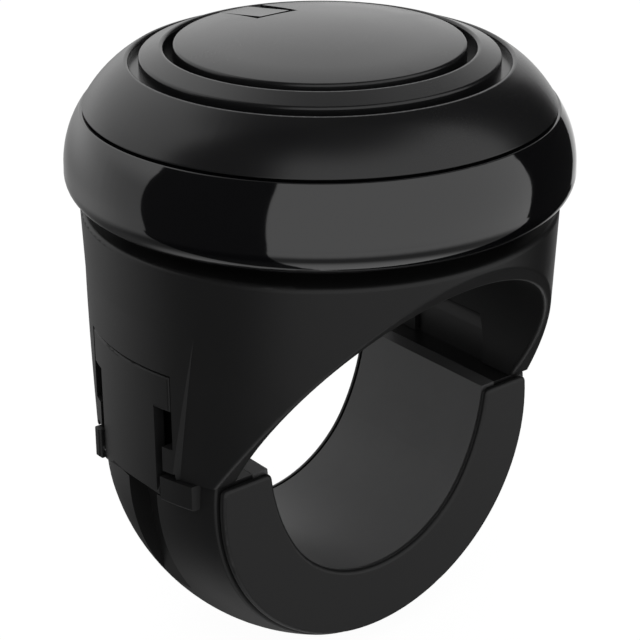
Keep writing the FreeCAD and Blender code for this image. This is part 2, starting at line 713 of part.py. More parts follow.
def make_cover_disc():
    """The crown is made of bands, so that a mesh follows its slight curve."""
    body = new_body("cover_disc")
    middle = S.disc_radius / 2
    revolve(body, [
        (0.0, S.dome_floor),
        (S.disc_radius, S.dome_floor),
        (S.disc_radius, S.disc_edge),
        crown_arc(S.disc_radius, S.disc_radius * 0.75),
        crown_arc(S.disc_radius * 0.75, middle),
        crown_arc(middle, middle / 2),
        crown_arc(middle / 2, S.disc_flat_radius),
        (0.0, crown_height(S.disc_flat_radius)),
    ])
    rim_length = 2 * math.pi * S.disc_radius.number
    round_edges(body, S.small_round, lambda e: abs(e.Length - rim_length) < 0.01
                and lies_at(e, z=(S.disc_edge.number, S.disc_edge.number)))
    peg = pad(body, "XY_Plane", None, S.dome_plate - 0.1, offset=S.dome_floor, reverse=True,
              circles=[(0.0, -S.disc_peg_circle, S.disc_peg_radius)])
    pattern(body, peg, DISC_PEGS)
    pad(body, "XY_Plane", [
        (S.tab_shift - S.tab_notch_half, S.tab_notch_front),
        (S.tab_shift + S.tab_notch_half, S.tab_notch_front),
        (S.tab_shift + S.tab_notch_half, S.disc_radius + 1.0),
        (S.tab_shift - S.tab_notch_half, S.disc_radius + 1.0),
    ], S.disc_edge + S.disc_crown_height - S.dome_floor + 0.5, offset=S.disc_edge + S.disc_crown_height, cut=True)
    return keep(body, "cover_disc")


def make_knob_screws():
    body = new_body("knob_screws")
    head_top = S.base_floor + 0.2 + S.screw_head
    head_low = head_top - S.screw_head
    head = pad(body, "XY_Plane", None, S.screw_head, offset=head_low,
               circles=[(S.screw_circle, 0.0, S.screw_head_radius)])
    pad(body, "XY_Plane", None, 6.0, offset=head_top - 0.1,
        circles=[(S.screw_circle, 0.0, S.screw_radius - S.seat_gap)])
    pad(body, "XY_Plane", None, 0.8, offset=head_low, reverse=True, cut=True,
        circles=[(S.screw_circle, 0.0, S.screw_radius * 0.6)])
    copies = []
    for index in range(KNOB_SCREWS):
        copy = doc.addObject("Part::Feature", "knob_screw_copy")
        turn = FreeCAD.Rotation(FreeCAD.Vector(0, 0, 1), 360.0 * index / KNOB_SCREWS)
        copy.Shape = body.Shape
        copy.Placement = FreeCAD.Placement(FreeCAD.Vector(0, 0, 0), turn)
        copies.append(copy)
    group = doc.addObject("Part::Compound", "knob_screw_set")
    group.Links = copies
    doc.recompute()
    return keep(group, "knob_screws")


# Bearing: races with ball grooves, balls, crown cage and shields.

def bearing_middle():
    return S.bearing_bottom + S.bearing_width / 2


def ball_circle():
    inner = S.bearing_bore + S.inner_race_wall
    outer = S.bearing_outer - S.outer_race_wall
    return (inner + outer) / 2


def make_race(label, inner, outer):
    body = new_body(label)
    revolve(body, [
        (inner, S.bearing_bottom),
        (outer, S.bearing_bottom),
        (outer, S.bearing_bottom + S.bearing_width),
        (inner, S.bearing_bottom + S.bearing_width),
    ])
    groove = doc.addObject("Part::Torus", label + "_groove")
    bind(groove, "Radius1", ball_circle())
    bind(groove, "Radius2", S.ball_radius + S.ball_gap)
    bind(groove, "Placement.Base.z", bearing_middle())
    doc.recompute()
    return keep(boolean("Cut", label + "_cut", body, groove), label)


def make_balls():
    made = []
    for index in range(BALLS):
        turn = math.radians(360.0 * index / BALLS)
        made.append(ball("bearing_ball", S.ball_radius, ball_circle() * math.cos(turn),
                         ball_circle() * math.sin(turn), bearing_middle()))
    group = doc.addObject("Part::Compound", "ball_set")
    group.Links = made
    doc.recompute()
    return keep(group, "bearing_balls")


def make_cage():
    body = new_body("bearing_cage")
    low = bearing_middle() - S.ball_radius - S.cage_wall
    revolve(body, [
        (ball_circle() - S.cage_wall, low),
        (ball_circle() + S.cage_wall, low),
        (ball_circle() + S.cage_wall, bearing_middle() + S.cage_top),
        (ball_circle() - S.cage_wall, bearing_middle() + S.cage_top),
    ])
    pockets = []
    for index in range(BALLS):
        turn = math.radians(360.0 * index / BALLS)
        pockets.append(ball("cage_pocket", S.ball_radius + S.pocket_gap, ball_circle() * math.cos(turn),
                            ball_circle() * math.sin(turn), bearing_middle()))
    return keep(boolean("Cut", "cage_cut", body, *pockets), "bearing_cage")


def make_shields():
    inner = S.bearing_bore + S.inner_race_wall + S.shield_gap
    outer = S.bearing_outer - S.outer_race_wall
    made = []
    for low in (S.bearing_bottom + S.seat_gap,
                S.bearing_bottom + S.bearing_width - S.seat_gap - S.shield_wall):
        disc = rod("shield_disc", 0.0, 0.0, low, outer, S.shield_wall)
        hole = rod("shield_hole", 0.0, 0.0, low - 1.0, inner, 3.0)
        made.append(boolean("Cut", "shield", disc, hole))
    group = doc.addObject("Part::Compound", "shield_pair")
    group.Links = made
    doc.recompute()
    return keep(group, "bearing_shields")


def make_hub_circlip():
    body = new_body("hub_circlip")
    low = S.bearing_bottom + S.bearing_width + S.seat_gap
    outer = S.bearing_outer + S.seat_gap + S.clip_bite
    inner = S.bearing_outer - S.clip_reach
    revolve(body, [
        (inner, low + 0.02),
        (outer, low + 0.02),
        (outer, low + S.clip_width - 0.02),
        (inner, low + S.clip_width - 0.02),
    ])
    pad(body, "XY_Plane", [
        (-S.clip_gap_half, 0.0),
        (S.clip_gap_half, 0.0),
        (S.clip_gap_half, outer + 1.0),
        (-S.clip_gap_half, outer + 1.0),
    ], 4 * S.clip_width, offset=low - S.clip_width, reverse=True, cut=True)
    return keep(body, "hub_circlip")


def make_spindle():
    body = new_body("spindle")
    shaft = S.bearing_bore - 0.01
    shoulder = S.bearing_bottom
    clip_low = S.bearing_bottom + S.bearing_width + S.seat_gap
    top = clip_low + S.clip_width + 0.5
    revolve(body, [
        (0.0, S.neck_top),
        (S.spindle_flange_radius, S.neck_top),
        (S.spindle_flange_radius, shoulder - 0.4),
        (S.bearing_bore + 1.2, shoulder - 0.4),
        (S.bearing_bore + 1.2, shoulder),
        (shaft, shoulder),
        (shaft, clip_low),
        (shaft - S.spindle_groove, clip_low),
        (shaft - S.spindle_groove, clip_low + S.clip_width),
        (shaft, clip_low + S.clip_width),
        (shaft, top),
        (0.0, top),
    ])
    pad(body, "XY_Plane", None, 6.2, offset=S.neck_top, reverse=True, cut=True,
        circles=[(0.0, 0.0, S.spindle_screw_radius)])
    return keep(body, "spindle")


def make_spindle_circlip():
    body = new_body("spindle_circlip")
    low = S.bearing_bottom + S.bearing_width + S.seat_gap
    inner = S.bearing_bore - S.spindle_groove + S.seat_gap
    outer = S.bearing_bore + S.clip_reach
    revolve(body, [
        (inner, low + 0.02),
        (outer, low + 0.02),
        (outer, low + S.clip_width - 0.02),
        (inner, low + S.clip_width - 0.02),
    ])
    pad(body, "XY_Plane", [
        (-S.clip_gap_half, 0.0),
        (S.clip_gap_half, 0.0),
        (S.clip_gap_half, outer + 1.0),
        (-S.clip_gap_half, outer + 1.0),
    ], 4 * S.clip_width, offset=low - S.clip_width, reverse=True, cut=True)
    return keep(body, "spindle_circlip")


def head_seat():
    """Height of the spindle screw's seat in the arch ceiling."""
    return S.arch_axis + S.arch_radius + S.pad_wall + S.spindle_head + 0.1


def make_spindle_screw():
    body = new_body("spindle_screw")
    revolve(body, [
        (0.0, head_seat() - S.spindle_head),
        (S.spindle_head_radius, head_seat() - S.spindle_head),
        (S.spindle_head_radius, head_seat()),
        (S.spindle_screw_radius - S.seat_gap, head_seat()),
        (S.spindle_screw_radius - S.seat_gap, S.neck_top + 5.8),
        (0.0, S.neck_top + 5.8),
    ])
    key = S.spindle_screw_radius * 0.62
    half = key * math.cos(math.radians(30))
    pad(body, "XY_Plane", [
        (key, 0.0),
        (key / 2, half),
        (-key / 2, half),
        (-key, 0.0),
        (-key / 2, -half),
        (key / 2, -half),
    ], 1.2, offset=head_seat() - S.spindle_head, reverse=True, cut=True)
    return keep(body, "spindle_screw")


# Housing: tapered round body with the arch, the latch boss, the hinge slot and the latch recess.

def pad_corners(inner, outer, half_angle):
    """A stretch of ring about the arch's axis, centred at the ceiling."""
    side, rise = sine(half_angle), cosine(half_angle)
    return [
        arc(inner * side, S.arch_axis + inner * rise, inner, -1),
        (outer * side, S.arch_axis + outer * rise),
        arc(-(outer * side), S.arch_axis + outer * rise, outer, 1),
        (-(inner * side), S.arch_axis + inner * rise),
    ]


def boss_radius(height):
    """Radius of the latch boss's face at a height."""
    span = S.boss_top - S.split_height
    low = S.housing_split_radius + S.boss_rise
    return low + (housing_radius(S.boss_top) - low) * (height - S.split_height) / span


def housing_radius(height):
    span = S.housing_top - S.split_height
    grow = S.housing_top_radius - S.housing_split_radius
    return S.housing_split_radius + grow * (height - S.split_height) / span


def make_latch_boss():
    """The raised field round the latch: a steeper cone inside a slab with sloping sides."""
    cone = frustum("latch_boss_cone", boss_radius(S.split_height), boss_radius(S.boss_top),
                   S.split_height, S.boss_top)
    slab = new_body("latch_boss_slab")
    extra = 3.0
    lean = (S.boss_half_top - S.boss_half_split) / (S.boss_top - S.split_height)
    low, high = S.split_height - extra, S.boss_top + extra
    half_low, half_high = S.boss_half_split - lean * extra, S.boss_half_top + lean * extra
    made = pad(slab, "YZ_Plane", [
        (S.latch_shift - half_low, low),
        (S.latch_shift + half_low, low),
        (S.latch_shift + half_high, high),
        (S.latch_shift - half_high, high),
    ], S.housing_top_radius - S.boss_root, offset=-S.boss_root, reverse=True)
    bind(made, "TaperAngle", -S.boss_taper)
    doc.recompute()
    return boolean("Common", "latch_boss", cone, slab)


def make_housing():
    blank = new_body("housing_blank")
    revolve(blank, [
        (0.0, S.split_height),
        (S.housing_split_radius, S.split_height),
        (S.housing_top_radius, S.housing_top),
        (S.neck_radius, S.housing_top),
        (S.neck_radius, S.neck_top),
        (0.0, S.neck_top),
    ])
    top_length = 2 * math.pi * S.housing_top_radius.number
    round_edges(blank, S.housing_round, lambda e: abs(e.Length - top_length) < 0.01)

    arch = new_body("arch_cut")
    pad(arch, "XZ_Plane", [
        (S.arch_radius, S.split_height - 2.0),
        (S.arch_radius, S.arch_axis),
        arc(0.0, S.arch_axis + S.arch_radius, S.arch_radius, 1),
        arc(-S.arch_radius, S.arch_axis, S.arch_radius, 1),
        (-S.arch_radius, S.split_height - 2.0),
    ], 4 * S.arch_radius, symmetric=True)
    arched = boolean("Cut", "housing_arched", blank, arch)
    slopes = [slope_cut("slope_front_cut", -1), slope_cut("slope_rear_cut", 1)]
    sloped = boolean("Cut", "housing_sloped", arched, *slopes)
    rounded = fillet_solid("housing_lipped", sloped, S.slope_round, on_slope)
    boss = boolean("Cut", "latch_boss_sloped", make_latch_boss(), *slopes)
    lip = boolean("MultiFuse", "housing_bossed", rounded, boss)

    pad_seat = new_body("pad_seat")
    pad(pad_seat, "XZ_Plane", pad_corners(S.arch_radius - 1.0, S.arch_radius + S.pad_wall, S.pad_half_angle),
        2 * S.pad_half, symmetric=True)
    ceiling = S.arch_axis + S.arch_radius
    screw_head = rod("screw_head_cut", 0.0, 0.0, ceiling - 2.0, S.spindle_head_radius + 0.1,
                     head_seat() - ceiling + 2.0)
    screw_hole = rod("screw_hole_cut", 0.0, 0.0, ceiling, S.spindle_screw_radius + 0.1, S.neck_top - ceiling + 2.0)

    hinge_slot = block("hinge_slot_cut", (
        S.arch_radius - 3.0, -(S.tongue_half + S.slot_gap), S.split_height - 2.0), (
        S.housing_reach, S.tongue_half + S.slot_gap, S.hinge_height + S.knuckle_radius + S.move_gap))
    hinge_bore = rod("hinge_bore_cut", S.hinge_out, -S.hinge_pin_half, S.hinge_height, S.hinge_pin_radius,
                     S.housing_reach, along="Y")

    recess = new_body("latch_recess_cut")
    wide, narrow = S.latch_head_half + S.slot_gap, S.lug_half
    lug_low = S.split_height + S.lug_gap
    pad(recess, "YZ_Plane", [
        (S.latch_shift - wide, S.split_height - 2.0),
        (S.latch_shift + wide, S.split_height - 2.0),
        (S.latch_shift + wide, lug_low),
        (S.latch_shift + narrow, lug_low),
        (S.latch_shift + narrow, S.lug_top),
        (S.latch_shift + wide, S.lug_top),
        (S.latch_shift + wide, S.latch_top + S.slot_gap),
        (S.latch_shift - wide, S.latch_top + S.slot_gap),
        (S.latch_shift - wide, S.lug_top),
        (S.latch_shift - narrow, S.lug_top),
        (S.latch_shift - narrow, lug_low),
        (S.latch_shift - wide, lug_low),
    ], S.housing_reach - S.recess_floor, offset=-S.recess_floor, reverse=True)
    made = boolean("Cut", "housing_cut", lip, pad_seat, screw_head, screw_hole, hinge_slot, hinge_bore, recess)
    return keep(made, "housing")


def slope_half(height):
    """Half of the housing's width at a height, where its front and rear slope."""
    return S.foot_half + (height - S.split_height) * (sine(S.slope_angle) / cosine(S.slope_angle))


def slope_cut(label, side):
    """What is taken off the housing's front or rear along the slope."""
    low, high = S.split_height - 2.0, S.housing_top
    reach = S.housing_reach
    body = new_body(label)
    corners = [(slope_half(low), low), (slope_half(high), high), (reach, high), (reach, low)]
    pad(body, "YZ_Plane", [(across * side, up) for across, up in corners], 2 * reach, symmetric=True)
    return body


def on_slope(edge):
    """Picks the long edges of the sloping front and rear, but not those at the split."""
    if edge.Length < 5.0 or edge.BoundBox.ZMax < S.split_height.number + 0.1:
        return False
    for position in (0.1, 0.5, 0.9):
        where = edge.valueAt(edge.FirstParameter + position * (edge.LastParameter - edge.FirstParameter))
        if abs(abs(where.y) - slope_half(as_size(where.z)).number) > 0.01:
            return False
    return True


def make_upper_pad():
    body = new_body("upper_pad")
    pad(body, "XZ_Plane", pad_corners(S.arch_radius, S.arch_radius + S.pad_wall - S.seat_gap,
                                      S.pad_half_angle - 0.2),
        2 * S.pad_half - 0.2, symmetric=True)
    return keep(body, "upper_pad")


def make_hinge_pin():
    start = -S.hinge_pin_half + 0.1
    pin = rod("hinge_pin_rod", S.hinge_out, start, S.hinge_height, S.hinge_pin_radius, 2 * S.hinge_pin_half,
              along="Y")
    return keep(pin, "hinge_pin")


# Clamp: arm with tongue, ears and channel, liner, side plates.

def arm_half():
    return S.clamp_half - S.plate_proud


def make_clamp_arm():
    top = S.split_height - S.split_gap
    reach = S.clamp_sphere + 2.0
    sphere = ball("arm_sphere", S.clamp_sphere)
    slab = block("arm_slab", (-reach, -arm_half(), -reach), (reach, arm_half(), top))
    blank = boolean("Common", "arm_blank", sphere, slab)
    rounded = fillet_solid("arm_rounded", blank, S.small_round, lambda e: (
        lies_at(e, y=(arm_half().number, arm_half().number)) or lies_at(e, y=(-arm_half().number,) * 2))
        and e.Length > 2 * S.clamp_sphere.number)

    tongue_body = new_body("arm_tongue")
    knuckle = S.knuckle_radius
    pad(tongue_body, "XZ_Plane", [
        (S.hinge_out - knuckle, S.split_height - 2.0),
        (S.hinge_out + knuckle - 1.2, S.split_height - 2.0),
        (S.hinge_out + knuckle, S.split_height),
        (S.hinge_out + knuckle, S.hinge_height),
        arc(S.hinge_out, S.hinge_height + knuckle, knuckle, 1),
        arc(S.hinge_out - knuckle, S.hinge_height, knuckle, 1),
    ], 2 * S.tongue_half, symmetric=True)
    ears = []
    ear_low = S.latch_pin_height - S.barrel_radius
    ear_face = -(S.latch_pin_out + S.ear_reach)
    barrel_end = S.barrel_half + S.slot_gap
    ear_cone = frustum("ear_cone", boss_radius(ear_low), boss_radius(top), ear_low, top)
    front = block("ear_front", (-reach, S.latch_shift - S.boss_half_split, ear_low), (
        -S.recess_floor, S.latch_shift - barrel_end, top))
    flush = boolean("Common", "ear_front_trimmed", front, ear_cone)
    ears.append(fillet_solid("ear_front_rounded", flush, S.latch_round, lambda e: (
        on_face_cone(e) and e.BoundBox.ZMax < ear_low.number + 0.01)))
    rear_top = S.split_height + S.lug_gap - S.slot_gap
    rear = block("ear_rear", (ear_face, S.latch_shift + barrel_end, ear_low), (
        -(S.recess_floor + S.slot_gap), S.latch_shift + S.ear_end, rear_top))
    ears.append(fillet_solid("ear_rear_rounded", rear, S.latch_round, lambda e: (
        lies_at(e, x=(ear_face.number,) * 2) and e.BoundBox.ZMin < rear_top.number - 0.01)))
    barrel_pocket = rod("barrel_pocket_cut", -S.latch_pin_out, S.latch_shift - S.barrel_half - S.slot_gap,
                        S.latch_pin_height, S.barrel_radius + S.move_gap,
                        2 * (S.barrel_half + S.slot_gap), along="Y")
    mouth = block("barrel_mouth_cut", (
        -reach, S.latch_shift - S.barrel_half - S.slot_gap, S.latch_pin_height), (
        -S.recess_floor, S.latch_shift + S.barrel_half + S.slot_gap, reach))
    opening = new_body("arm_opening_cut")
    pad(opening, "XZ_Plane", opening_corners(S.liner_wall + S.seat_gap, S.split_height + 1.0),
        4 * S.clamp_half, symmetric=True)
    seats = []
    for name, sign in (("seat_front", 1), ("seat_rear", -1)):
        seat = new_body(name + "_cut")
        rim = S.plate_rim - S.plate_lip + S.seat_gap
        pad(seat, "XZ_Plane", crescent_corners(S.liner_wall - 0.2, rim, S.split_height - S.plate_drop - 0.6), 5.0,
            offset=(arm_half() - S.plate_seat) * sign, reverse=sign < 0)
        seats.append(seat)
    relief = block("hinge_relief_cut", (
        S.hinge_out - 1.5, -reach, S.split_height - S.hinge_relief), (reach, reach, S.split_height + 1.0))
    channel = new_body("finger_channel_cut")
    pad(channel, "XZ_Plane", [
        (-(S.clamp_sphere - S.channel_top_depth), S.latch_pin_height),
        (-reach, S.latch_pin_height),
        (-reach, -S.channel_run),
        (-root(S.clamp_sphere * S.clamp_sphere - S.channel_run * S.channel_run), -S.channel_run),
    ], 2 * S.channel_half, symmetric=True)
    body = boolean("Cut", "arm_opened", rounded, opening, relief, channel)
    joined = boolean("MultiFuse", "arm_joined", body, tongue_body, *ears)
    hinge_hole = rod("hinge_hole_cut", S.hinge_out, -2 * S.clamp_half, S.hinge_height,
                     S.hinge_pin_radius + S.running_gap, 4 * S.clamp_half, along="Y")
    latch_hole = rod("latch_hole_cut", -S.latch_pin_out, S.latch_shift - S.ear_end + 0.2, S.latch_pin_height,
                     S.latch_pin_radius, 2 * S.ear_end, along="Y")
    made = boolean("Cut", "arm_cut", joined, barrel_pocket, mouth, hinge_hole, latch_hole, *seats)
    return keep(made, "clamp_arm")


def make_liner():
    body = new_body("clamp_liner")
    pad(body, "XZ_Plane", strip_corners(as_size(0.0), S.liner_wall, S.split_height - S.split_gap),
        2 * arm_half(), symmetric=True)
    return keep(body, "clamp_liner")


def make_side_plate(label, sign):
    body = new_body(label)
    top = S.split_height - S.plate_drop
    flange_back = S.clamp_half - S.plate_flange
    pad(body, "XZ_Plane", crescent_corners(as_size(0.0), S.plate_rim, top), S.plate_flange,
        offset=flange_back * sign, reverse=sign < 0)
    face_y = -S.clamp_half.number * sign
    round_edges(body, S.plate_corner, lambda e: lies_at(e, z=(top.number, top.number))
                and abs(e.BoundBox.YLength - S.plate_flange.number) < 0.01)
    round_edges(body, S.plate_round, lambda e: lies_at(e, y=(face_y, face_y)))
    foot_rim = S.plate_rim - S.plate_lip
    foot_back = arm_half() - S.plate_seat + S.seat_gap
    pad(body, "XZ_Plane", crescent_corners(S.liner_wall + S.seat_gap, foot_rim, top - 0.65),
        flange_back - foot_back + 0.1, offset=foot_back * sign, reverse=sign < 0)
    return keep(body, label)


def make_latch_pin():
    pin = rod("latch_pin_rod", -S.latch_pin_out, S.latch_shift - S.ear_end + 0.3, S.latch_pin_height,
              S.latch_pin_radius, 2 * S.ear_end - 0.5, along="Y")
    return keep(pin, "latch_pin")


# Latch: T-shaped lever whose face follows the housing's side boss.

def latch_slab(label, half, low, high):
    return block(label, (-S.housing_reach, S.latch_shift - half, low),
                 (-10.0, S.latch_shift + half, high))


def make_latch_lever():
    low = S.latch_pin_height - 2 * S.barrel_radius
    face_low, face_high = boss_radius(low), boss_radius(S.latch_top)
    outer = frustum("latch_outer_cone", face_low, face_high, low, S.latch_top)
    inner = frustum("latch_inner_cone", face_low - S.latch_shell, face_high - S.latch_shell, low, S.latch_top)
    head = latch_slab("latch_head_slab", S.latch_head_half, S.latch_head_bottom, S.latch_top)
    stem = latch_slab("latch_stem_slab", S.latch_stem_half, S.latch_pin_height, S.latch_head_bottom)
    tee = boolean("MultiFuse", "latch_tee", head, stem)
    face = boolean("Cut", "latch_face", tee, inner)
    spine = block("latch_spine", (
        -S.housing_reach, S.latch_shift - S.latch_spine_half, S.latch_pin_height), (
        -S.latch_spine_back, S.latch_shift + S.latch_spine_half, S.latch_top - 1.5))
    barrel = rod("latch_barrel", -S.latch_pin_out, S.latch_shift - S.barrel_half, S.latch_pin_height,
                 S.barrel_radius, 2 * S.barrel_half, along="Y")
    whole = boolean("MultiFuse", "latch_whole", face, spine, barrel)
    hole = rod("latch_pin_hole", -S.latch_pin_out, -2 * S.clamp_half, S.latch_pin_height,
               S.latch_pin_radius + S.running_gap, 4 * S.clamp_half, along="Y")
    bored = boolean("Cut", "latch_bored", whole, hole)
    clipped = boolean("Common", "latch_clipped", bored, outer)
    return keep(fillet_solid("latch_rounded", clipped, S.latch_round, on_latch_face), "latch_lever")


def on_face_cone(edge):
    """Picks edges that lie on the cone of the latch's face."""
    if edge.Length < 1.0:
        return False
    for position in (0.1, 0.5, 0.9):
        where = edge.valueAt(edge.FirstParameter + position * (edge.LastParameter - edge.FirstParameter))
        if abs(math.hypot(where.x, where.y) - boss_radius(as_size(where.z)).number) > 0.01:
            return False
    return True


def on_latch_face(edge):
    """Picks the outer edges of the latch's head and stem."""
    return on_face_cone(edge) and edge.BoundBox.ZMin > S.latch_pin_height.number + 1.0


make_dome_cap()
make_gloss_band()
make_knob_base()
make_trim_ring()
make_cover_disc()
make_knob_screws()
make_race("outer_race", S.bearing_outer - S.outer_race_wall, S.bearing_outer)
make_race("inner_race", S.bearing_bore, S.bearing_bore + S.inner_race_wall)
make_balls()
make_cage()
make_shields()
make_hub_circlip()
make_spindle()
make_spindle_circlip()
make_spindle_screw()
make_housing()
make_upper_pad()
make_hinge_pin()
make_clamp_arm()
make_liner()
make_side_plate("side_plate_front", 1)
make_side_plate("side_plate_rear", -1)
make_latch_pin()
make_latch_lever()

# Every object has to be sound before anything is written.
doc.recompute()
for thing in doc.Objects:
    if "Invalid" in thing.State or "Error" in thing.State:
        raise RuntimeError("%s failed: %s" % (thing.Label, thing.State))
os.makedirs("parts", exist_ok=True)
for node in nodes:
    if node.Shape.isNull() or not node.Shape.isValid():
        raise RuntimeError("%s has no sound shape" % node.Label)
    name = re.sub(r"\W", "_", node.Label)
    node.Shape.exportStep("parts/%s.step" % name)
    print("%-18s solids %d volume %9.2f mm3" % (name, len(node.Shape.Solids), node.Shape.Volume))
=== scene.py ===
"""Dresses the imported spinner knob: moulded and polished plastics, rubber, steel, studio and camera."""

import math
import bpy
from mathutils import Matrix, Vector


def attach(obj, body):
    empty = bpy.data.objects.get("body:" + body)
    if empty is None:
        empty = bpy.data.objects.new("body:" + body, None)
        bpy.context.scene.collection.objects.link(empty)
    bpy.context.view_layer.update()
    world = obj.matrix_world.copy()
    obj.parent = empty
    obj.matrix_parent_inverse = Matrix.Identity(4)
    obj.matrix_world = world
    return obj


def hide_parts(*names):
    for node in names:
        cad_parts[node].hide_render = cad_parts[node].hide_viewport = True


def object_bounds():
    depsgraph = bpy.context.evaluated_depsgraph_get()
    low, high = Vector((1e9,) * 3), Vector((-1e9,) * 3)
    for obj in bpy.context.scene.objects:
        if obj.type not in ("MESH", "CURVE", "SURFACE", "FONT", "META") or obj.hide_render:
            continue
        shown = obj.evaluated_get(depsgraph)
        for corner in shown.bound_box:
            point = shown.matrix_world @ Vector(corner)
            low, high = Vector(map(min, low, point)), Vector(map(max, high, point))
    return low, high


bl_info = {
    "name": "Spinner Knob Dressing",
    "version": (1, 0, 0),
    "blender": (4, 5, 0),
    "location": "3D View > Sidebar > Spinner Knob",
    "description": "Finishes, studio and camera for a steering wheel spinner knob",
    "category": "Object",
}

import bpy
from bpy.props import FloatProperty, FloatVectorProperty, PointerProperty
from mathutils import Vector

MERGE_DISTANCE = 1e-7
SMOOTH_ANGLE = math.radians(30.0)

FLOOR_SIZE = 3.0
FLOOR_PAINT = (0.9, 0.9, 0.9, 1.0)
FLOOR_GLOW = 1.07
FLOOR_GLOW_SHARE = 0.9
WHITE = (1.0, 1.0, 1.0, 1.0)

LAMP_PLACE = Vector((-0.35, -0.25, 0.5))
LAMP_AIM = Vector((0.0, 0.0, 0.01))
LAMP_SIZE = 0.3

# Edges of the reflected surround, in degrees of bearing from the camera: negative is to the left.
LEFT_FLAG = (-82.0, -22.5)
RIGHT_FLAG = (103.0, 150.0)
FLAG_DARKNESS = 0.97

# Sizes of the blotches, waves and marks in the finishes, in metres.
SATIN_CLOUD = 0.009
BAND_WAVE = 0.004
BAND_HAZE = 0.0022
MATT_CLOUD = 0.012
RUBBER_MOTTLE = 0.0035
STEEL_MARK = 0.0006
STEEL_STAIN = 0.003
NYLON_MOTTLE = 0.002

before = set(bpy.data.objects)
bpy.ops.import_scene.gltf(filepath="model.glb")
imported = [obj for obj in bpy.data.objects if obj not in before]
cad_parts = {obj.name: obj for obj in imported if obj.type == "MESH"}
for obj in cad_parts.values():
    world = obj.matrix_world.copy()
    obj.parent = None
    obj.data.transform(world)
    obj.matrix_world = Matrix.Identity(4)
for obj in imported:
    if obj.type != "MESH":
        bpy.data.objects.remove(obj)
cad_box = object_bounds()


# Shader helpers. Values are wired as Python expressions, and the other nodes come from one method.

class Signal:
    """One output socket of a shader tree, used like a number."""

    def __init__(self, tree, socket):
        self.tree = tree
        self.socket = socket

    def blend(self, operation, first, second):
        return self.tree.node("ShaderNodeMath", {"operation": operation}, {0: first, 1: second})

    def __add__(self, other):
        return self.blend("ADD", self, other)

    __radd__ = __add__

    def __sub__(self, other):
        return self.blend("SUBTRACT", self, other)

    def __rsub__(self, other):
        return self.blend("SUBTRACT", other, self)

    def __mul__(self, other):
        return self.blend("MULTIPLY", self, other)

    __rmul__ = __mul__

    def __gt__(self, other):
        return self.blend("GREATER_THAN", self, other)

    def __lt__(self, other):
        return self.blend("LESS_THAN", self, other)


class ShaderTree:
    """A material's or world's node tree."""

    def __init__(self, owner):
        owner.use_nodes = True
        self.nodes = owner.node_tree.nodes
        self.links = owner.node_tree.links
        self.nodes.clear()

    def node(self, kind, settings=None, inputs=None, output=0):
        """Adds a node, sets it up and gives one of its outputs."""
        made = self.nodes.new(kind)
        for name, value in (settings or {}).items():
            if name == "stops":
                self.set_stops(made, value)
            else:
                setattr(made, name, value)
        for name, value in (inputs or {}).items():
            if isinstance(value, Signal):
                self.links.new(value.socket, made.inputs[name])
            else:
                made.inputs[name].default_value = value
        return Signal(self, made.outputs[output])

    @staticmethod
    def set_stops(ramp, stops):
        elements = ramp.color_ramp.elements
        while len(elements) > 1:
            elements.remove(elements[-1])
        elements[0].position, elements[0].color = stops[0]
        for position, colour in stops[1:]:
            elements.new(position).color = colour

    def finish(self, shader, kind="ShaderNodeOutputMaterial"):
        output = self.nodes.new(kind)
        self.links.new(shader.socket, output.inputs["Surface"])

    def coordinates(self, stretch=(1.0, 1.0, 1.0)):
        place = self.node("ShaderNodeTexCoord", output="Object")
        return self.node("ShaderNodeMapping", {}, {"Vector": place, "Scale": stretch})

    def noise(self, size, detail=3.0, rough=0.55, stretch=(1.0, 1.0, 1.0), output="Fac"):
        """Noise whose blotches are about the given size across, in metres."""
        return self.node("ShaderNodeTexNoise", {}, {
            "Vector": self.coordinates(stretch), "Scale": 1.0 / size, "Detail": detail, "Roughness": rough,
        }, output=output)

    def ramp(self, value, start, end, low, high):
        """A smooth change from low to high while the value goes from start to end."""
        if start > end:
            start, end, low, high = end, start, high, low
        return self.node("ShaderNodeMapRange", {"interpolation_type": "SMOOTHSTEP"}, {
            "Value": value, "From Min": start, "From Max": end, "To Min": low, "To Max": high,
        })

    def slope(self, up, start, end, low, high):
        """A smooth change between two elevations, given in degrees."""
        return self.ramp(up, math.sin(math.radians(start)), math.sin(math.radians(end)), low, high)

    def turn(self, bearing, start, end, low, high):
        """A smooth change between two bearings, given in degrees."""
        return self.ramp(bearing, math.radians(start), math.radians(end), low, high)

    def tint(self, factor, dark, light):
        return self.node("ShaderNodeMix", {"data_type": "RGBA"}, {
            "Factor": factor, "A": (*dark, 1.0), "B": (*light, 1.0),
        }, output=2)


def shade(colour, share):
    """A colour made lighter or darker by a share."""
    return tuple(min(1.0, channel * share) for channel in colour)


def around(noise, spread):
    """Noise turned into a deviation either side of nought, over the given spread."""
    return (noise - 0.5) * spread


def finish_material(name, tree, colour, roughness, normal=None, **constants):
    """Closes a material with a Principled shader."""
    inputs = {"Base Color": colour, "Roughness": roughness}
    if normal is not None:
        inputs["Normal"] = normal
    inputs.update({key.replace("_", " "): value for key, value in constants.items()})
    surface = tree.node("ShaderNodeBsdfPrincipled", {}, inputs)
    tree.finish(surface)
    return bpy.data.materials[name]


def new_tree(name):
    return ShaderTree(bpy.data.materials.new(name))


# Settings that a user would change.

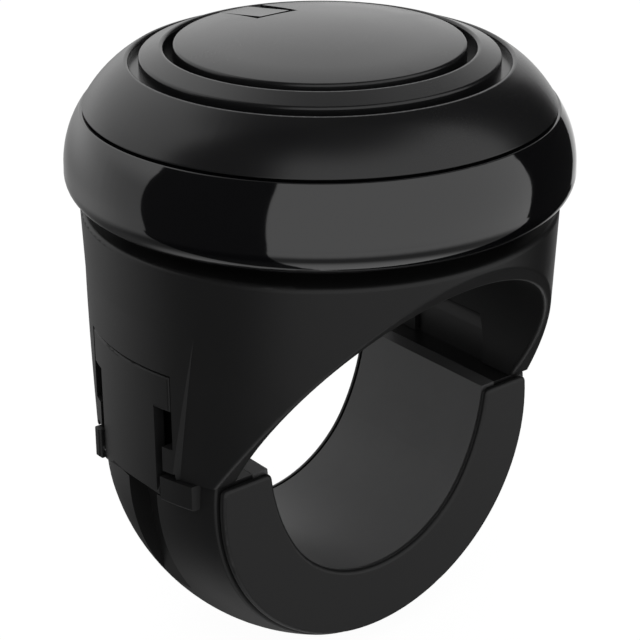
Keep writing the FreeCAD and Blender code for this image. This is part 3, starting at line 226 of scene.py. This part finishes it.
class FinishSettings(bpy.types.PropertyGroup):
    satin: FloatVectorProperty(
        name="Satin plastic", description="Colour of the knob's top", subtype="COLOR", size=3,
        min=0.0, max=1.0, default=(0.0085, 0.0085, 0.009))
    satin_roughness: FloatProperty(
        name="Satin roughness", description="Gloss of the knob's top, 0 is a mirror",
        min=0.0, max=1.0, default=0.26)
    polished: FloatVectorProperty(
        name="Polished plastic", description="Colour of the gloss band", subtype="COLOR", size=3,
        min=0.0, max=1.0, default=(0.003, 0.003, 0.0035))
    matt: FloatVectorProperty(
        name="Matt plastic", description="Colour of the housing and the clamp", subtype="COLOR", size=3,
        min=0.0, max=1.0, default=(0.0105, 0.0105, 0.0107))
    matt_roughness: FloatProperty(
        name="Matt roughness", description="Gloss of the housing and the clamp",
        min=0.0, max=1.0, default=0.4)
    matt_shine: FloatProperty(
        name="Matt shine", description="Strength of the matt plastic's reflections",
        min=0.0, max=1.0, default=0.31)
    rubber: FloatVectorProperty(
        name="Rubber", description="Colour of the liner and the pad", subtype="COLOR", size=3,
        min=0.0, max=1.0, default=(0.078, 0.078, 0.079))
    steel: FloatVectorProperty(
        name="Steel", description="Colour of the screws, pins and bearing", subtype="COLOR", size=3,
        min=0.0, max=1.0, default=(0.58, 0.58, 0.6))
    nylon: FloatVectorProperty(
        name="Nylon", description="Colour of the bearing's cage", subtype="COLOR", size=3,
        min=0.0, max=1.0, default=(0.42, 0.38, 0.29))
    grain: FloatProperty(
        name="Moulded grain", description="Size of the moulded surface's grain", unit="LENGTH",
        min=0.00002, max=0.001, precision=5, default=0.00012)


class StudioSettings(bpy.types.PropertyGroup):
    azimuth: FloatProperty(
        name="Camera azimuth", description="Direction of the camera round the object, 0 from the front",
        subtype="ANGLE", default=math.radians(-39.15))
    elevation: FloatProperty(
        name="Camera elevation", description="Height of the camera above the horizon", subtype="ANGLE",
        default=math.radians(24.41))
    distance: FloatProperty(
        name="Camera distance", description="Distance from the camera to its aim", unit="LENGTH",
        default=0.1968)
    aim_height: FloatProperty(
        name="Aim height", description="Height of the point on the spin axis that the camera aims at",
        unit="LENGTH", default=0.0111)
    lens: FloatProperty(
        name="Lens", description="Focal length in millimetres on a 36 mm sensor", default=108.6)
    surround: FloatProperty(
        name="Surround", description="Strength of the soft light from all sides", min=0.0, default=0.6)
    ceiling_start: FloatProperty(
        name="Wall top", description="Elevation where the pale studio wall starts to fade",
        subtype="ANGLE", default=math.radians(48.0))
    ceiling_end: FloatProperty(
        name="Ceiling", description="Elevation where the dark ceiling begins", subtype="ANGLE",
        default=math.radians(74.0))
    ceiling_level: FloatProperty(
        name="Ceiling level", description="Brightness of the ceiling in reflections", min=0.0, default=0.07)
    ground_level: FloatProperty(
        name="Ground level", description="Brightness of the ground beside the object in reflections",
        min=0.0, default=0.2)
    key_power: FloatProperty(
        name="Key light", description="Power of the large soft lamp, in watts", default=0.35)
    floor_drop: FloatProperty(
        name="Floor gap", description="Gap between the clamp's lowest point and the floor", unit="LENGTH",
        default=0.0001)


# Finishes.

def satin_black_plastic():
    """Moulded satin plastic of the knob's top."""
    look = bpy.context.scene.spinner_finish
    tree = new_tree("satin_black_plastic")
    cloud = tree.noise(SATIN_CLOUD, detail=2.0)
    grain = tree.noise(look.grain, detail=2.0, rough=0.6)
    colour = tree.tint(cloud, shade(look.satin, 0.9), shade(look.satin, 1.1))
    roughness = look.satin_roughness + around(cloud, 0.04) + around(grain, 0.05)
    bump = tree.node("ShaderNodeBump", {}, {"Strength": 0.25, "Distance": 0.000004, "Height": grain})
    return finish_material("satin_black_plastic", tree, colour, roughness, bump)


def piano_black_plastic():
    """Polished plastic of the band, with the faint waviness that moulding leaves."""
    look = bpy.context.scene.spinner_finish
    tree = new_tree("piano_black_plastic")
    waviness = tree.noise(BAND_WAVE, detail=1.0, rough=0.4)
    haze = tree.noise(BAND_HAZE, detail=4.0, rough=0.65)
    colour = tree.tint(haze, shade(look.polished, 0.85), shade(look.polished, 1.15))
    roughness = 0.045 + haze * 0.02
    bump = tree.node("ShaderNodeBump", {}, {"Strength": 0.12, "Distance": 0.000012, "Height": waviness})
    return finish_material("piano_black_plastic", tree, colour, roughness, bump, IOR=1.68)


def matt_black_plastic():
    """Finely grained plastic of the housing, the clamp and the latch."""
    look = bpy.context.scene.spinner_finish
    tree = new_tree("matt_black_plastic")
    cloud = tree.noise(MATT_CLOUD, detail=2.0)
    grain = tree.noise(look.grain * 1.4, detail=3.0, rough=0.62)
    colour = tree.tint(cloud, shade(look.matt, 0.88), shade(look.matt, 1.12))
    roughness = look.matt_roughness + around(cloud, 0.05) + around(grain, 0.08)
    bump = tree.node("ShaderNodeBump", {}, {"Strength": 0.35, "Distance": 0.000007, "Height": grain})
    return finish_material("matt_black_plastic", tree, colour, roughness, bump,
                           Specular_IOR_Level=look.matt_shine)


def soft_black_rubber():
    """Rubber of the liner and of the pad, dull and slightly mottled."""
    look = bpy.context.scene.spinner_finish
    tree = new_tree("soft_black_rubber")
    mottle = tree.noise(RUBBER_MOTTLE, detail=4.0, rough=0.6)
    grain = tree.noise(look.grain * 2.2, detail=3.0, rough=0.7)
    colour = tree.tint(mottle, shade(look.rubber, 0.85), shade(look.rubber, 1.15))
    roughness = 0.5 + around(mottle, 0.08)
    bump = tree.node("ShaderNodeBump", {}, {"Strength": 0.4, "Distance": 0.00001, "Height": grain})
    return finish_material("soft_black_rubber", tree, colour, roughness, bump)


def turned_steel():
    """Bright steel with fine turning marks round the spin axis."""
    look = bpy.context.scene.spinner_finish
    tree = new_tree("turned_steel")
    marks = tree.noise(STEEL_MARK, detail=4.0, stretch=(0.3, 0.3, 6.0))
    stain = tree.noise(STEEL_STAIN, detail=3.0)
    colour = tree.tint(stain, shade(look.steel, 0.88), shade(look.steel, 1.08))
    roughness = 0.24 + around(marks, 0.14)
    bump = tree.node("ShaderNodeBump", {}, {"Strength": 0.3, "Distance": 0.000004, "Height": marks})
    return finish_material("turned_steel", tree, colour, roughness, bump, Metallic=1.0)


def natural_nylon():
    """Moulded nylon of the bearing's cage."""
    look = bpy.context.scene.spinner_finish
    tree = new_tree("natural_nylon")
    mottle = tree.noise(NYLON_MOTTLE, detail=3.0)
    colour = tree.tint(mottle, shade(look.nylon, 0.9), shade(look.nylon, 1.08))
    roughness = 0.42 + around(mottle, 0.1)
    return finish_material("natural_nylon", tree, colour, roughness)


def give_finish(material, *nodes):
    """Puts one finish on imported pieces."""
    for name in nodes:
        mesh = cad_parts[name].data
        mesh.materials.clear()
        mesh.materials.append(material)


# Pieces that are shown by a merged copy.

def smooth_copy(name, body):
    """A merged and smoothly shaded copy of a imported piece, which is shown in its place."""
    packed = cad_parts[name]
    bpy.ops.object.select_all(action="DESELECT")
    mesh = packed.data.copy()
    mesh.transform(packed.matrix_world)
    piece = bpy.data.objects.new(name + "_smooth", mesh)
    bpy.context.scene.collection.objects.link(piece)
    bpy.context.view_layer.objects.active = piece
    piece.select_set(True)
    bpy.ops.mesh.customdata_custom_splitnormals_clear()
    bpy.ops.object.mode_set(mode="EDIT")
    bpy.ops.mesh.select_all(action="SELECT")
    bpy.ops.mesh.remove_doubles(threshold=MERGE_DISTANCE)
    bpy.ops.object.mode_set(mode="OBJECT")
    bpy.ops.object.shade_smooth_by_angle(angle=SMOOTH_ANGLE)
    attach(piece, body)
    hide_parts(name)


# Operators: one for each group of pieces.

class FinishKnob(bpy.types.Operator):
    """Dresses the knob's top in satin plastic and its band in polished plastic"""

    bl_idname = "spinner.finish_knob"
    bl_label = "Finish Knob"

    def execute(self, context):
        give_finish(satin_black_plastic(), "dome_cap", "trim_ring", "cover_disc")
        give_finish(piano_black_plastic(), "gloss_band")
        smooth_copy("cover_disc", "knob")
        return {"FINISHED"}


class FinishHousing(bpy.types.Operator):
    """Dresses the housing, the knob's base, the clamp and the latch in matt plastic"""

    bl_idname = "spinner.finish_housing"
    bl_label = "Finish Housing and Clamp"

    def execute(self, context):
        give_finish(matt_black_plastic(), "housing", "knob_base", "clamp_arm", "latch_lever",
                    "side_plate_front", "side_plate_rear")
        give_finish(soft_black_rubber(), "clamp_liner", "upper_pad")
        return {"FINISHED"}


class FinishMechanism(bpy.types.Operator):
    """Dresses the bearing, the spindle, the screws and the pins in steel and nylon"""

    bl_idname = "spinner.finish_mechanism"
    bl_label = "Finish Mechanism"

    def execute(self, context):
        give_finish(turned_steel(), "knob_screws", "outer_race", "inner_race", "bearing_balls",
                    "bearing_shields", "hub_circlip", "spindle", "spindle_circlip", "spindle_screw",
                    "hinge_pin", "latch_pin")
        give_finish(natural_nylon(), "bearing_cage")
        return {"FINISHED"}


# Studio.

def studio_floor(studio):
    """A plain pale floor that shows white to the camera and keeps a faint shadow."""
    height = cad_box[0].z - studio.floor_drop
    bpy.ops.mesh.primitive_plane_add(size=FLOOR_SIZE, location=(0.0, 0.0, height))
    floor = bpy.context.object
    floor.name = "studio_floor"
    tree = new_tree("studio_floor")
    paint = tree.node("ShaderNodeBsdfDiffuse", {}, {"Color": FLOOR_PAINT})
    glow = tree.node("ShaderNodeEmission", {}, {"Color": WHITE, "Strength": FLOOR_GLOW})
    seen = tree.node("ShaderNodeLightPath", output="Is Camera Ray")
    tree.finish(tree.node("ShaderNodeMixShader", {}, {0: seen * FLOOR_GLOW_SHARE, 1: paint, 2: glow}))
    floor.data.materials.append(bpy.data.materials["studio_floor"])
    floor.visible_glossy = False


def studio_world(studio):
    """A pale studio: white to the camera, pale walls under a dark ceiling in reflections."""
    world = bpy.data.worlds.new("studio_world")
    bpy.context.scene.world = world
    tree = ShaderTree(world)
    direction = {"Vector": tree.node("ShaderNodeTexCoord", output="Generated")}
    east = tree.node("ShaderNodeSeparateXYZ", {}, direction, output="X")
    north = tree.node("ShaderNodeSeparateXYZ", {}, direction, output="Y")
    up = tree.node("ShaderNodeSeparateXYZ", {}, direction, output="Z")
    camera_east, camera_north = math.sin(studio.azimuth), -math.cos(studio.azimuth)
    toward = east * camera_east + north * camera_north
    right = north * camera_east - east * camera_north
    bearing = tree.node("ShaderNodeMath", {"operation": "ARCTAN2"}, {0: right, 1: toward})
    to_the_left = bearing * -1.0
    left_start, left_end, right_start, right_end = (math.radians(edge) for edge in LEFT_FLAG + RIGHT_FLAG)

    # Brightness by height: a pale wall, a dark ceiling, a dim ground and a paler spot straight below.
    walls = tree.ramp(up, math.sin(studio.ceiling_start), math.sin(studio.ceiling_end),
                      1.0, studio.ceiling_level)
    ground = tree.slope(up, -38.0, -18.0, studio.ground_level, 1.0)
    underneath = tree.slope(up, -68.0, -46.0, 0.8, 0.0)

    # What the sides take away from it.
    rear_left = tree.turn(to_the_left, 95.0, 150.0, 0.0, 0.6) * tree.slope(up, -15.0, 5.0, 1.0, 0.0)
    rear_right = (bearing > right_start) * tree.turn(bearing, 140.0, 176.0, 0.5, 0.0)
    left_wall = (bearing < left_start) * tree.turn(to_the_left, 90.0, 140.0, 0.45, 0.0) * tree.slope(
        up, 8.0, 30.0, 1.0, 0.0)
    left_flag = (bearing > left_start) - (bearing > left_end)
    right_flag = (bearing > right_start) - (bearing > right_end)
    flags = (left_flag + right_flag) * FLAG_DARKNESS
    pattern = walls * (ground + underneath)
    for loss in (left_wall, rear_right, rear_left, flags):
        pattern = pattern * (1 - loss)
    camera_ray = tree.node("ShaderNodeLightPath", output="Is Camera Ray")
    glossy_ray = tree.node("ShaderNodeLightPath", output="Is Glossy Ray")
    diffuse = (1 - camera_ray) * (1 - glossy_ray) * studio.surround
    strength = camera_ray + glossy_ray * (1 - camera_ray) * pattern + diffuse
    backdrop = tree.node("ShaderNodeBackground", {}, {"Color": WHITE, "Strength": strength})
    tree.finish(backdrop, "ShaderNodeOutputWorld")


def studio_camera(studio):
    aim = Vector((0.0, 0.0, studio.aim_height))
    back = Vector((math.sin(studio.azimuth) * math.cos(studio.elevation),
                   -math.cos(studio.azimuth) * math.cos(studio.elevation),
                   math.sin(studio.elevation)))
    bpy.ops.object.camera_add(location=aim + back * studio.distance)
    camera = bpy.context.object
    camera.name = "studio_camera"
    camera.rotation_mode = "QUATERNION"
    camera.rotation_quaternion = (-back).to_track_quat("-Z", "Y")
    camera.data.sensor_width = 36.0
    camera.data.lens = studio.lens
    camera.data.clip_start = 0.01
    camera.data.clip_end = 20.0
    bpy.context.scene.camera = camera


def studio_lamp(studio):
    """One large soft lamp, high at the left, for diffuse shape only."""
    bpy.ops.object.light_add(type="AREA", location=LAMP_PLACE)
    lamp = bpy.context.object
    lamp.name = "soft_key"
    lamp.data.size = LAMP_SIZE
    lamp.data.energy = studio.key_power
    lamp.rotation_mode = "QUATERNION"
    lamp.rotation_quaternion = (LAMP_AIM - LAMP_PLACE).to_track_quat("-Z", "Y")
    lamp.visible_glossy = False


class BuildStudio(bpy.types.Operator):
    """Builds the floor, the soft light, the pale surround and the camera"""

    bl_idname = "spinner.build_studio"
    bl_label = "Build Studio"

    def execute(self, context):
        studio = context.scene.spinner_studio
        bpy.ops.object.select_all(action="DESELECT")
        studio_floor(studio)
        studio_world(studio)
        studio_lamp(studio)
        studio_camera(studio)
        context.scene.view_settings.view_transform = "Standard"
        return {"FINISHED"}


class SpinnerPanel(bpy.types.Panel):
    """Lists the steps that dress the spinner knob"""

    bl_idname = "VIEW3D_PT_spinner_knob"
    bl_label = "Spinner Knob"
    bl_space_type = "VIEW_3D"
    bl_region_type = "UI"
    bl_category = "Spinner Knob"

    def draw(self, context):
        column = self.layout.column()
        for step in STEPS:
            column.operator(step.bl_idname)
        for settings in (context.scene.spinner_finish, context.scene.spinner_studio):
            for name in settings.__annotations__:
                column.prop(settings, name)


STEPS = (FinishKnob, FinishHousing, FinishMechanism, BuildStudio)
CLASSES = (FinishSettings, StudioSettings, *STEPS, SpinnerPanel)


def register():
    for one in CLASSES:
        bpy.utils.register_class(one)
    bpy.types.Scene.spinner_finish = PointerProperty(type=FinishSettings)
    bpy.types.Scene.spinner_studio = PointerProperty(type=StudioSettings)


def unregister():
    del bpy.types.Scene.spinner_studio
    del bpy.types.Scene.spinner_finish
    for one in reversed(CLASSES):
        bpy.utils.unregister_class(one)


def main():
    register()
    for step in STEPS:
        group, name = step.bl_idname.split(".")
        getattr(getattr(bpy.ops, group), name)()


if __name__ == "__main__":
    main()
